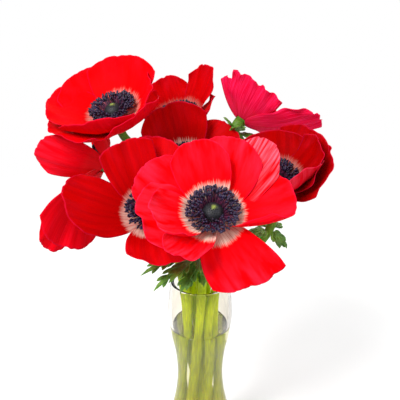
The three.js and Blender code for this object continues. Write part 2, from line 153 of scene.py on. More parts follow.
rim_turn = np.linspace(0, np.pi, 14)
rim_height = VASE_HEIGHT - GLASS / 2
rim_middle = wall_radius(np.array(rim_height)) - GLASS / 2
outer_height = np.concatenate([
    np.linspace(FOOT_BEND, FOOT_WIDEST, 6),
    np.linspace(FOOT_WIDEST + 1, rim_height - 1, 70),
])
vase_profile = np.concatenate([
    FOOT_EDGE,
    np.stack([outer_height, wall_radius(outer_height)], axis=-1),
    np.stack([
        rim_height + GLASS / 2 * np.sin(rim_turn),
        rim_middle + GLASS / 2 * np.cos(rim_turn),
    ], axis=-1),
    room_profile(rim_height - 1, 0)[::-1],
])
vase_points = np.concatenate([
    turned(vase_profile, VASE_AROUND).reshape(-1, 3),
    [(0, 0, 0), (0, 0, BASE_GLASS)],
])

clear_glass, nodes, links, shader = new_finish("clear_glass", GLASS_TINT, 0.0)
shader.inputs["Transmission Weight"].default_value = 1
shader.inputs["IOR"].default_value = GLASS_INDEX
waves = noise_in_place(nodes, links, scale=110, detail=1, stretch=(1, 1, 0.15))
add_bump(nodes, links, shader, waves, strength=0.2, distance=0.0005)

vase = new_piece("glass_vase", vase_points, ring_faces(len(vase_profile), VASE_AROUND), clear_glass)
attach(vase, "root")
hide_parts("vase")

# ---- Water
# Clear water with a green tint from the stems fills the vase to just under its bulge.
# It wets the wall, so its surface climbs up at the edge: less and less with the distance from the wall.
WATER_LEVEL = 115.0
WETTED = 0.15
CLIMB, CLIMB_REACH = 1.1, 1.2
WATER_TINT = (0.94, 0.95, 0.66)
WATER_INDEX = 1.333

water_wall = room_profile(WATER_LEVEL, WETTED)
edge_radius = water_wall[-1, 1]
inward = np.linspace(0, 5, 12)
climbing = WATER_LEVEL - CLIMB * (1 - np.exp(-inward / CLIMB_REACH))
meniscus = np.stack([climbing, edge_radius - inward - 0.05], axis=-1)
water_profile = np.concatenate([water_wall, meniscus, [(WATER_LEVEL - CLIMB, edge_radius * 0.4)]])
water_points = np.concatenate([
    turned(water_profile, VASE_AROUND).reshape(-1, 3),
    [(0, 0, BASE_GLASS - WETTED), (0, 0, WATER_LEVEL - CLIMB)],
])

clear_water, nodes, links, shader = new_finish("clear_water", WATER_TINT, 0.0)
shader.inputs["Transmission Weight"].default_value = 1
shader.inputs["IOR"].default_value = WATER_INDEX

water = new_piece("vase_water", water_points, ring_faces(len(water_profile), VASE_AROUND), clear_water)
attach(water, "root")
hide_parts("water")

# ---- Stems
# Each bloom has one juicy round stem, finely ribbed, paler and yellower where it stood in water, partly its
# own colour and partly painted light that makes up for light the glass and water hold back from it.
# It leans through the vase's waist and mouth, and bends up into the underside of its bloom.
STEM_RADIUS = 3.05
STEM_TAPER, STEM_FLARE = 0.5, 1.6
RIBS, RIB_DEPTH = 7, 0.05
STEM_START, STEM_FOOT = 9.0, 10.0
FOOT_RING, WAIST_RING, MOUTH_RING = 13.6, 10.4, 11.6
WAIST_HEIGHT, MOUTH_HEIGHT = 76.0, 143.0
TURN_BETWEEN = 26.0
UNDERSIDE = -2.0
STEM_RINGS, STEM_AROUND = 110, 20
# Greens from the foot up: the bright yellow-green under water is partly painted light, and the green
# darkens higher up.
STEM_GREENS_WITH_PAINTED_LIGHT = [
    (0, (0.78, 0.78, 0.0)), (0.5, (0.64, 0.76, 0.0)),
    (0.68, (0.26, 0.42, 0.02)), (0.85, (0.09, 0.2, 0.02)),
]

# Bloom: its place, the way that it faces (heading, raised), the turn at which its stem leaves the mouth,
# the points that the stem passes above the mouth, and the straight length of its neck
BLOOMS = {
    "front": ((6.9, -62, 227.2), 0, 57, 275, [(3, -28, 182)], 16),
    "top_left": ((-52.5, 12, 261), -35, 66, 120, [(-16, 22, 184), (-32, 26, 226)], 14),
    "left": ((-29, -34, 215), 5, 55, 222, [(-15, -17, 182)], 14),
    "middle": ((-8.6, 18, 224.7), 0, 60, None, [(0, 3, 182)], 12),
    "right": ((46, -12, 225), -20, 62, 326, [(44, -13, 195)], 12),
    "top_right": ((28.4, 40, 251), 125, 40, 17, [(23, 25, 190), (31, 44, 228)], 6),
    "far_left": ((-62, 11, 229.5), -108, 25, 171, [(-19, 2, 180), (-35, 5, 205)], 12),
    "back": ((-14, 62, 242), -30, 66, 68, [(1, 36, 180), (-5, 60, 210)], 14),
}


def bloom_frame(heading, raised):
    """Rows are the bloom's right, its up and its axis: the axis points where the bloom faces."""
    h, r = np.radians(heading), np.radians(raised)
    level = np.array([np.sin(h), -np.cos(h), 0])
    axis = level * np.cos(r) + [0, 0, np.sin(r)]
    up = -level * np.sin(r) + [0, 0, np.cos(r)]
    return np.array([np.cross(up, axis), up, axis])


def line_through(points, count):
    """Smooth line through the points, cut into even steps. Each span is a cubic whose end slopes weigh the
    neighbouring spans by the square roots of their lengths."""
    p = np.vstack([2 * points[0] - points[1], points, 2 * points[-1] - points[-2]])
    root = np.sqrt(np.linalg.norm(np.diff(p, axis=0), axis=1))
    r0, r1, r2 = root[:-2, None], root[1:-1, None], root[2:, None]
    a, b, c, d = p[:-3], p[1:-2], p[2:-1], p[3:]
    leave = ((b - a) / r0 - (c - a) / (r0 + r1) + (c - b) / r1) * r1
    arrive = ((c - b) / r1 - (d - b) / (r1 + r2) + (d - c) / r2) * r1
    s = np.linspace(0, 1, 60, endpoint=False)[:, None, None]
    line = b * (1 + 2 * s) * (1 - s) ** 2 + c * s * s * (3 - 2 * s)
    line = line + leave * s * (1 - s) ** 2 - arrive * s * s * (1 - s)
    line = np.vstack([line.transpose(1, 0, 2).reshape(-1, 3), points[-1]])
    far = np.concatenate([[0], np.cumsum(np.linalg.norm(np.diff(line, axis=0), axis=1))])
    even = np.linspace(0, far[-1], count)
    return np.stack([np.interp(even, far, line[:, k]) for k in range(3)], axis=-1)


def stem_line(name, count):
    """Line of a stem from the vase's floor past its waist and mouth to the underside of its bloom."""
    place, heading, raised, leaves_at, way, neck = BLOOMS[name]
    axis = bloom_frame(heading, raised)[2]
    turns = np.radians((leaves_at or 0) + np.array([-2 * TURN_BETWEEN, -TURN_BETWEEN, 0]))
    radii = np.array([FOOT_RING, WAIST_RING, MOUTH_RING]) * (leaves_at is not None)
    rings = np.stack([
        radii * np.cos(turns),
        radii * np.sin(turns),
        [STEM_START, WAIST_HEIGHT, MOUTH_HEIGHT],
    ], axis=-1)
    ends = [np.array(place) + axis * (UNDERSIDE - far) for far in (neck, 0.3)]
    return line_through(np.vstack([rings, way, ends]), count)


def tube(line, radius, around):
    """Rings across a line: its point plus the radius times the cosine and sine of the turn along two
    directions square to the line, the first of them nearest to +X."""
    ahead = np.gradient(line, axis=0)
    ahead /= np.linalg.norm(ahead, axis=1, keepdims=True)
    first = np.array([1.0, 0, 0]) - ahead * ahead[:, :1]
    first /= np.linalg.norm(first, axis=1, keepdims=True)
    second = np.cross(ahead, first)
    turn = np.linspace(0, 2 * np.pi, around, endpoint=False)[None, :, None]
    across = np.cos(turn) * first[:, None] + np.sin(turn) * second[:, None]
    return line[:, None] + radius * across


def map_range(nodes, links, value, low, high, to_low=0, to_high=1):
    """The value moved evenly from one range to another, and held at the ends."""
    node = nodes.new("ShaderNodeMapRange")
    node.inputs["From Min"].default_value = low
    node.inputs["From Max"].default_value = high
    node.inputs["To Min"].default_value = to_low
    node.inputs["To Max"].default_value = to_high
    links.new(value, node.inputs["Value"])
    return node.outputs["Result"]


def color_ramp(nodes, links, value, stops):
    """Colour that runs through the stops, each a number from 0 to 1 and a colour, as the value rises."""
    node = nodes.new("ShaderNodeValToRGB")
    elements = node.color_ramp.elements
    elements[0].position, elements[1].position = stops[0][0], stops[-1][0]
    elements[0].color, elements[1].color = (*stops[0][1], 1), (*stops[-1][1], 1)
    for position, color in stops[1:-1]:
        elements.new(position).color = (*color, 1)
    links.new(value, node.inputs["Fac"])
    return node.outputs["Color"]


def let_light_in(shader, weight, spread, scale):
    """Lets light under the skin, as far as the scale, in metres, times the spread of each colour."""
    shader.inputs["Subsurface Weight"].default_value = weight
    shader.inputs["Subsurface Radius"].default_value = spread
    shader.inputs["Subsurface Scale"].default_value = scale


def stem_finish():
    """Yellow-green under water, brightened there by painted light, and a green that darkens higher up, with
    fine streaks along the stem and a satin skin.
    """
    material, nodes, links, shader = new_finish("stem_skin", (0.2, 0.35, 0.05), 0.5)
    shader.inputs["Specular IOR Level"].default_value = 0.2
    let_light_in(shader, weight=0.25, spread=(0.6, 1.0, 0.2), scale=0.0015)
    place = nodes.new("ShaderNodeTexCoord")
    split = nodes.new("ShaderNodeSeparateXYZ")
    links.new(place.outputs["Object"], split.inputs[0])
    height = map_range(nodes, links, split.outputs["Z"], 0.02, 0.24)
    streak = noise_in_place(nodes, links, scale=1600, detail=3, stretch=(1, 1, 0.05))
    tint = nodes.new("ShaderNodeVectorMath")
    tint.operation = "MULTIPLY"
    links.new(color_ramp(nodes, links, height, STEM_GREENS_WITH_PAINTED_LIGHT), tint.inputs[0])
    links.new(map_range(nodes, links, streak, 0.3, 0.7, 0.72, 1.25), tint.inputs[1])
    links.new(tint.outputs["Vector"], shader.inputs["Base Color"])
    add_bump(nodes, links, shader, streak, strength=0.25, distance=0.0003)
    return material


stem_skin = stem_finish()
stem_share = np.linspace(0, 1, STEM_RINGS)[:, None, None]
slimmer = STEM_TAPER * np.clip(stem_share / 0.93 - 0.3, 0, 0.7)
flare = STEM_FLARE * np.clip(stem_share * 30 - 29, 0, 1)
stem_turn = np.linspace(0, 2 * np.pi, STEM_AROUND, endpoint=False)
rib = RIB_DEPTH * np.cos(RIBS * stem_turn)[None, :, None]
for name in BLOOMS:
    line = stem_line(name, STEM_RINGS)
    rings = tube(line, STEM_RADIUS - slimmer + flare + rib, STEM_AROUND)
    rings[..., 2] = np.maximum(rings[..., 2], STEM_FOOT)
    points = np.concatenate([rings.reshape(-1, 3), rings[0].mean(0)[None], rings[-1].mean(0)[None]])
    stem = new_piece(name + "_stem", points, ring_faces(STEM_RINGS, STEM_AROUND), stem_skin)
    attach(stem, "root")
    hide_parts("stem_" + name)

# ---- Leaves
# A whorl of three leaves grows from the stem below each bloom, each cut into narrow toothed lobes.
# They are thin, arch down towards their tips and are folded a little along each lobe's rib.
STALK = 4.0
LEAF_THICK = 0.5
DROOP = 0.22
LOBE_SPREAD = np.array([-68, -34, 0, 34, 68])
LOBE_SHARE = np.array([0.6, 0.85, 1, 0.85, 0.6])
LOBE_HALF, TOOTH_HALF = 2.21, 1.56
TOOTH_PLACE = np.array([0.46, 0.66])
TOOTH_LEAN = 36.0
TOOTH_SHARE = 0.38
BLADE_ROWS, BLADE_COLS = 9, 5
STEM_PARTS = 400
KEEL, LEAF_WAVE = 0.45, 0.25
LEAF_GREENS = [(0.3, (0.05, 0.14, 0.015)), (0.5, (0.11, 0.27, 0.03)), (0.75, (0.24, 0.46, 0.05))]

# Leaf: its place along the stem as a share, its turn, its lean upwards and its length
LEAVES = {
    "front": [(0.84, 201, -2, 39), (0.82, 208, -15, 36), (0.8, 231, -29, 22)],
    "top_left": [(0.8, 150, 10, 22), (0.8, 30, 0, 18), (0.8, 260, 0, 18)],
    "left": [(0.84, 190, -10, 18), (0.84, 70, -10, 16), (0.85, 315, 20, 10)],
    "middle": [(0.84, 60, 0, 16), (0.84, 180, 0, 16), (0.84, 300, 0, 16)],
    "right": [(0.86, 330, -30, 12), (0.86, 80, 0, 16), (0.86, 200, 0, 13)],
    "top_right": [(0.965, 190, 60, 10), (0.96, 276, 46, 10), (0.95, 22, 0, 10)],
    "far_left": [(0.86, 110, 0, 18), (0.86, 200, 0, 18), (0.86, 300, -10, 16)],
    "back": [(0.84, 50, 0, 20), (0.84, 150, 0, 20), (0.84, 280, 10, 18)],
}


def closed_sheets(grid, thick):
    """Points and faces of thin closed sheets, one for each grid of points: half the thickness is added and
    taken away along the surface's normal, and a band of faces joins the two sides round the edge."""
    count, rows, cols = grid.shape[:3]
    normal = np.cross(np.gradient(grid, axis=1), np.gradient(grid, axis=2))
    normal /= np.maximum(np.linalg.norm(normal, axis=-1, keepdims=True), 1e-9)
    half = normal * np.asarray(thick)[..., None] / 2
    points = np.stack([grid + half, grid - half], axis=1).reshape(-1, 3)
    i, j = np.meshgrid(np.arange(rows - 1), np.arange(cols - 1), indexing="ij")
    a = (i * cols + j).ravel()
    upper = np.stack([a, a + cols, a + cols + 1, a + 1], axis=-1)
    under = rows * cols
    lower = upper[:, ::-1] + under
    edge = np.concatenate([
        np.arange(cols - 1),
        np.arange(rows - 1) * cols + cols - 1,
        (rows - 1) * cols + np.arange(cols - 1, 0, -1),
        np.arange(rows - 1, 0, -1) * cols,
    ])
    after = np.roll(edge, -1)
    band = np.stack([edge, after, after + under, edge + under], axis=-1)
    one = np.concatenate([upper, lower, band])
    faces = one[None] + (np.arange(count) * 2 * under)[:, None, None]
    return points, faces.reshape(-1, 4).tolist()


def leaf_blades(long):
    """Grids of a leaf's lobes and teeth, in its own frame. A blade is its middle line plus its half width
    sideways, which swells to the blade's middle and narrows to its tip. Its height falls with the square of
    the distance, rises from the rib to both edges, and waves. A tooth starts on its lobe's middle line."""
    lobe = np.radians(LOBE_SPREAD)
    lobe_long = long * LOBE_SHARE
    lean = np.radians(TOOTH_LEAN)
    pair = np.ones((1, 1, 2))
    at = TOOTH_PLACE[None, :, None] * lobe_long[:, None, None] * pair
    tooth_turn = lobe[:, None, None] + lean * np.array([-1, 1]) * np.ones((1, len(TOOTH_PLACE), 1))
    tooth_long = TOOTH_SHARE * lobe_long[:, None, None] * (1.25 - TOOTH_PLACE)[None, :, None] * pair
    turn = np.concatenate([lobe, tooth_turn.ravel()])
    reach = np.concatenate([lobe_long, tooth_long.ravel()])
    half = np.concatenate([np.full(len(lobe), LOBE_HALF), np.full(tooth_turn.size, TOOTH_HALF)])
    from_x = np.concatenate([np.zeros(len(lobe)), (at * np.cos(lobe)[:, None, None]).ravel()])
    from_y = np.concatenate([np.zeros(len(lobe)), (at * np.sin(lobe)[:, None, None]).ravel()])
    s = np.linspace(0, 1, BLADE_ROWS)[None, :, None]
    t = np.linspace(-1, 1, BLADE_COLS)[None, None, :]
    turn, reach, half = turn[:, None, None], reach[:, None, None], half[:, None, None]
    wide = half * (0.45 + 0.55 * np.sin(0.8 * np.pi * s ** 0.9)) * np.sqrt(1 - s ** 6)
    side = wide * t + 0.04 * reach * np.sin(2.5 * s + turn)
    x = from_x[:, None, None] + reach * s * np.cos(turn) - side * np.sin(turn)
    y = from_y[:, None, None] + reach * s * np.sin(turn) + side * np.cos(turn)
    far = np.hypot(x, y) / long
    z = -DROOP * long * far ** 2 + KEEL * np.abs(t) * wide + LEAF_WAVE * np.sin(9 * far + 3 * turn) * far
    return np.stack([x + STALK, y, z + 0 * x], axis=-1)


def leaf_stalk():
    """Grid of the short stalk that joins the lobes to the stem. It widens outwards and is a shallow trough:
    its height is 0.3 mm times the square of the share sideways."""
    s, t = np.meshgrid(np.linspace(0, 1, BLADE_ROWS), np.linspace(-1, 1, BLADE_COLS), indexing="ij")
    return np.stack([(STALK + 2.5) * s - 0.5, (1.3 + 0.6 * s) * t, 0.3 * t ** 2 - 0.2 * s], axis=-1)[None]


def placed_leaf(grid, turn, lean, root):
    """The leaf raised by its lean, turned about the upright axis and moved to its root on the stem."""
    lean, turn = np.radians(lean), np.radians(turn)
    raise_up = np.array([[np.cos(lean), 0, -np.sin(lean)], [0, 1, 0], [np.sin(lean), 0, np.cos(lean)]])
    swing = np.array([[np.cos(turn), -np.sin(turn), 0], [np.sin(turn), np.cos(turn), 0], [0, 0, 1]])
    return grid @ (swing @ raise_up).T + root


def leaf_finish():
    """Deep green with lighter, yellower patches and a fine grain; a little light comes through."""
    material, nodes, links, shader = new_finish("leaf_skin", (0.06, 0.16, 0.03), 0.5)
    let_light_in(shader, weight=0.15, spread=(0.4, 1.0, 0.2), scale=0.001)
    patch = noise_in_place(nodes, links, scale=130, detail=5)
    links.new(color_ramp(nodes, links, patch, LEAF_GREENS), shader.inputs["Base Color"])
    add_bump(nodes, links, shader, patch, strength=0.3, distance=0.0004)
    return material


leaf_skin = leaf_finish()
for name, whorl in LEAVES.items():
    line = stem_line(name, STEM_PARTS + 1)
    grids = []
    for share, turn, lean, long in whorl:
        root = line[int(share * STEM_PARTS)]
        leaf = np.concatenate([leaf_blades(long), leaf_stalk()])
        grids.append(placed_leaf(leaf, turn, lean, root))
    points, faces = closed_sheets(np.concatenate(grids), LEAF_THICK)
    leaves = new_piece(name + "_leaves", points, faces, leaf_skin)
    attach(leaves, "root")
    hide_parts("stem_" + name)

# ---- Petals
# Each bloom has five to nine broad silky petals in two alternating layers on a small receptacle.
# They are thin, with ruffled and finely nicked margins and veins that fan out from the claw. Most are red,
# some are flushed with pink, partly their own and partly painted highlight, and a cream ring with a fringed
# edge lies round the centre. Some blooms' red is darkened by painted shade, and a faint painted sheen lies
# near the margins.
PETAL_START = 4.0
CLAW_SHARE = 0.2
TIP_POWER = 2.8
LAYER = 1.1
CLAW_THICK, MARGIN_THICK = 0.7, 0.3
PETAL_ROWS, PETAL_COLS = 44, 41
RIB_STEPS = 200
SECTION_STEPS = 24
FLAT_SHARE = 0.35
NICKS, PLEATS, CRIMPS = (2, 3.7, 5.3, 8.9), (6, 11, 17), (11, 17)
PLEAT_HEIGHT, CRIMP_HEIGHT = 0.65, 0.6

# A petal's turn runs round the bloom from its right side. Rise and end are its slopes at claw and tip, and
# layer lifts it off the petals below. Cup is how far its sides lean up, and the curls roll its margins up.
# Bend swings its tip sideways. Wave is the height of its waves, and waves their number. Tip is how far its
# margin falls back at the corners, ragged is how deeply it is nicked, and the pale flush is how pink its
# face is
# towards the margin: a little is a faint streak or two, mostly painted highlight, and near 1 is the petal's
# own pale pink.
PLAIN_PETAL = dict(
    layer=0, cup=22, bend=0, twist=0, wave=1, waves=2, curl_left=0, curl_right=0,
    tip=0.27, ragged=0.012, pink_and_highlight=0.003,
)
PETALS = {
    "front": [
        dict(
            turn=102, long=39, wide=34, rise=20, end=45, layer=1.2, bend=1.5, twist=-8, curl_right=40,
            pink_and_highlight=0.1,
        ),
        dict(turn=73, long=42, wide=38, rise=17, end=42, cup=15, pink_and_highlight=0.15),
        dict(turn=48, long=49, wide=30, rise=15, end=44, layer=-1.2, cup=15, pink_and_highlight=0.85),
        dict(turn=3, long=42, wide=40, rise=9, end=35, layer=0.9, cup=13, curl_right=170, pink_and_highlight=0.06),
        dict(
            turn=-68, long=39, wide=40, rise=6, end=-35, layer=-0.5, cup=5, bend=7, wave=1.8, waves=2.5,
            tip=0.12, pink_and_highlight=0.15,
        ),
        dict(
            turn=-122, long=38, wide=28, rise=2, end=50, layer=0.9, curl_left=50, curl_right=50, pink_and_highlight=0.3,
        ),
        dict(turn=191, long=39, wide=44, rise=6, end=40, layer=-0.2, cup=19, wave=2, pink_and_highlight=0.25),
        dict(
            turn=200, long=38, wide=34, rise=14, end=62, layer=1.2, cup=28, curl_left=60, twist=-8,
            pink_and_highlight=0.3,
        ),
        dict(turn=150, long=44, wide=40, rise=8, end=26, layer=-1.2, cup=23, wave=1.8, pink_and_highlight=0.15),
    ],
    "top_left": [
        dict(turn=103, long=37, wide=50, rise=22, end=62, layer=0.8),
        dict(turn=161, long=39, wide=48, rise=14, end=54, layer=-0.8, cup=28),
        dict(turn=213, long=40, wide=44, rise=15, end=43, layer=0.8, wave=1.5),
        dict(turn=255, long=41, wide=46, rise=2, end=46, layer=-0.8),
        dict(turn=290, long=38, wide=52, rise=-10, end=84, layer=0.8, cup=30, twist=8),
        dict(turn=345, long=35, wide=44, rise=-12, end=76, layer=-0.8),
        dict(turn=40, long=32, wide=44, rise=10, end=66),
    ],
    "left": [
        dict(turn=112, long=43, wide=34, rise=20, end=48, layer=0.8, cup=18, tip=0.1),
        dict(turn=83, long=45, wide=40, rise=14, end=38, layer=-0.8, bend=1.5),
        dict(turn=178, long=51, wide=42, rise=8, end=48, layer=-0.4, cup=12, twist=8),
        dict(turn=279, long=37, wide=40, rise=6, end=32, layer=0.8, cup=14, bend=2, twist=-10),
        dict(turn=320, long=30, wide=34, rise=-2, end=18, layer=-0.8, cup=15),
        dict(turn=30, long=32, wide=38, rise=20, end=60, layer=0.6),
    ],
    "middle": [
        dict(turn=113, long=41, wide=48, rise=24, end=66, layer=0.8, cup=31),
        dict(turn=43, long=38, wide=36, rise=14, end=26, layer=-0.8, bend=-1),
        dict(turn=180, long=32, wide=38, rise=12, end=70, layer=-0.8),
        dict(turn=240, long=26, wide=34, rise=14, end=76, layer=0.8),
        dict(turn=300, long=26, wide=34, rise=6, end=70, layer=-0.4),
    ],
    "right": [
        dict(turn=110, long=31, wide=48, rise=18, end=60, layer=0.8, cup=30),
        dict(turn=52, long=39, wide=46, rise=18, end=58, layer=-0.8, cup=24),
        dict(turn=16, long=40, wide=40, rise=20, end=80, layer=0.8, cup=26),
        dict(turn=313, long=41, wide=50, rise=24, end=88, layer=0.6, cup=28, pink_and_highlight=0.5),
        dict(turn=250, long=37, wide=40, rise=20, end=94, layer=-0.6, cup=30),
        dict(turn=6, long=42, wide=43, rise=10, end=70, layer=-0.8, cup=22),
        dict(turn=182, long=33, wide=40, rise=14, end=80, cup=26),
    ],
    "top_right": [
        dict(
            turn=127, long=32, wide=39, rise=14, end=54, layer=-0.4, wave=1.8, waves=4, tip=0.1,
            ragged=0.04,
        ),
        dict(turn=204, long=52, wide=38, rise=14, end=58, layer=-1.2, wave=1.5, waves=4, ragged=0.04),
        dict(turn=50, long=29, wide=34, rise=16, end=48, layer=-0.8, cup=30),
        dict(turn=158, long=22, wide=36, rise=20, end=66, layer=0.8),
        dict(turn=275, long=38, wide=40, rise=14, end=66, layer=-0.8),
        dict(turn=330, long=38, wide=36, rise=22, end=66, layer=0.8),
    ],
    "far_left": [
        dict(turn=11, long=46, wide=28, rise=24, end=82, layer=-0.8, cup=20, pink_and_highlight=0.3),
        dict(turn=302, long=55, wide=49, rise=1, end=-15, layer=0.4, cup=15, twist=50),
        dict(turn=289, long=66, wide=31, rise=10, end=4, layer=-1, cup=10, twist=50),
        dict(turn=108, long=25, wide=32, rise=14, end=66, layer=0.8),
        dict(turn=175, long=32, wide=36, rise=20, end=66, layer=0.8),
        dict(turn=235, long=32, wide=34, rise=20, end=60, layer=-0.4),
    ],
    "back": [
        dict(turn=66, long=43, wide=27, rise=24, end=70, layer=0.8, cup=30, bend=-2),
        dict(turn=136, long=35, wide=32, rise=20, end=78, layer=-0.8, cup=26),
        dict(turn=5, long=33.5, wide=34, rise=14, end=68, layer=-0.8),
        dict(turn=190, long=30, wide=34, rise=16, end=80, layer=0.8),
        dict(turn=245, long=22, wide=30, rise=5, end=70, layer=-0.8),
        dict(turn=305, long=22, wide=30, rise=8, end=70, layer=0.8),
    ],
}


def petal_shares():
    """How far each point of a petal's grid is from claw to tip, 0 to 1, and from side to side, -1 to 1."""
    return np.meshgrid(np.linspace(0, 1, PETAL_ROWS), np.linspace(-1, 1, PETAL_COLS), indexing="ij")


def petal_grid(petal, seed):
    """Grid of a petal in its bloom's frame. The midrib is the running sum of short steps, whose slope goes
    evenly from rise to end. Across the midrib, the section is a mean of steps too: each leans up by the cup
    and, near the margin, by the curl. Sines along and across the petal lift its margin in waves, nick its
    edge and pleat its face. Then the section is turned by the twist, and the petal to its place."""
    p = {**PLAIN_PETAL, **petal}
    share, across = petal_shares()
    phase = np.random.default_rng(seed).uniform(0, 2 * np.pi, len(NICKS) + len(PLEATS) + len(CRIMPS))
    nicks = sum(np.sin(k * 3.1 * across + phase[n]) / 4 for n, k in enumerate(NICKS))
    reach = share * (1 - p["tip"] * np.abs(across) ** TIP_POWER)
    reach = reach * (1 + p["ragged"] * share ** 6 * (nicks - 1.2 * np.abs(nicks)))
    along = np.linspace(0, 1, RIB_STEPS)
    slope = np.radians(p["rise"] + (p["end"] - p["rise"]) * along)
    between = (slope[1:] + slope[:-1]) / 2
    step = p["long"] / (RIB_STEPS - 1)
    rib_out = PETAL_START + np.concatenate([[0], np.cumsum(np.cos(between))]) * step
    rib_up = p["layer"] * LAYER + np.concatenate([[0], np.cumsum(np.sin(between))]) * step
    out, up = np.interp(reach, along, rib_out), np.interp(reach, along, rib_up)
    tilt = np.interp(reach, along, slope)
    half = p["wide"] / 2 * (CLAW_SHARE + (1 - CLAW_SHARE) * np.sin(np.pi / 2 * share ** 0.7))
    t = across[..., None] * (np.arange(SECTION_STEPS) + 0.5) / SECTION_STEPS
    curl = np.where(across > 0, p["curl_left"], p["curl_right"])[..., None] * np.sqrt(share)[..., None]
    rolled = np.clip((np.abs(t) - FLAT_SHARE) / (1 - FLAT_SHARE), 0, 1)
    lean = np.radians(p["cup"] * t + np.sign(t) * rolled ** 1.5 * curl)
    side = half * across * np.cos(lean).mean(-1)
    lift = half * across * np.sin(lean).mean(-1)
    ruffle = np.abs(across) ** 3 * share * np.sin(np.pi * p["waves"] * share + 1.3 * np.sign(across))
    scallop = share ** 5 * np.sin(np.pi * p["waves"] * across)
    pleat = sum(np.sin(k * across + phase[n + 4] + 2 * share) / 3 for n, k in enumerate(PLEATS))
    crimp = sum(np.sin(k * share + phase[n + 7]) / 2 for n, k in enumerate(CRIMPS)) * np.abs(across) ** 6
    lift = lift + p["wave"] * (ruffle + scallop) + PLEAT_HEIGHT * pleat * share ** 1.5
    lift = lift + CRIMP_HEIGHT * crimp * share
    twist = np.radians(p["twist"]) * reach
    left = side * np.cos(twist) - lift * np.sin(twist) + p["bend"] * reach ** 2
    above = side * np.sin(twist) + lift * np.cos(twist)
    out = out - np.sin(tilt) * above
    up = up + np.cos(tilt) * above
    turn = np.radians(p["turn"])
    x = out * np.cos(turn) - left * np.sin(turn)
    y = out * np.sin(turn) + left * np.cos(turn)
    return np.stack([x, y, up], axis=-1)


SCARLET, DULL_SCARLET = (0.92, 0.0, 0.002), (0.78, 0.0, 0.003)
# Painted shade: a darker copy of the scarlet, and a still darker red for the cup near the claw.
SHADED_RED, SHADED_DULL_RED, CUP_SHADE_RED = (0.42, 0.0, 0.0), (0.3, 0.0, 0.0), (0.2, 0.0, 0.0)
# A lighter red, for the painted sheen and for the veins.
SHEEN_AND_VEIN_RED = (0.95, 0.01, 0.03)
ROSE, PALE_PINK = (0.95, 0.03, 0.1), (0.92, 0.24, 0.34)
BACK_RED, BACK_SCARLET = (0.78, 0.0, 0.008), (0.9, 0.004, 0.02)
CRIMSON, BRIGHT_CRIMSON = (0.64, 0.0, 0.03), (0.9, 0.02, 0.12)
EDGE_RED = (0.5, 0.01, 0.08)
CREAM, CREAM_VEIN = (0.72, 0.5, 0.41), (0.5, 0.16, 0.14)
CREAM_ENDS = (15.9, 18.3)


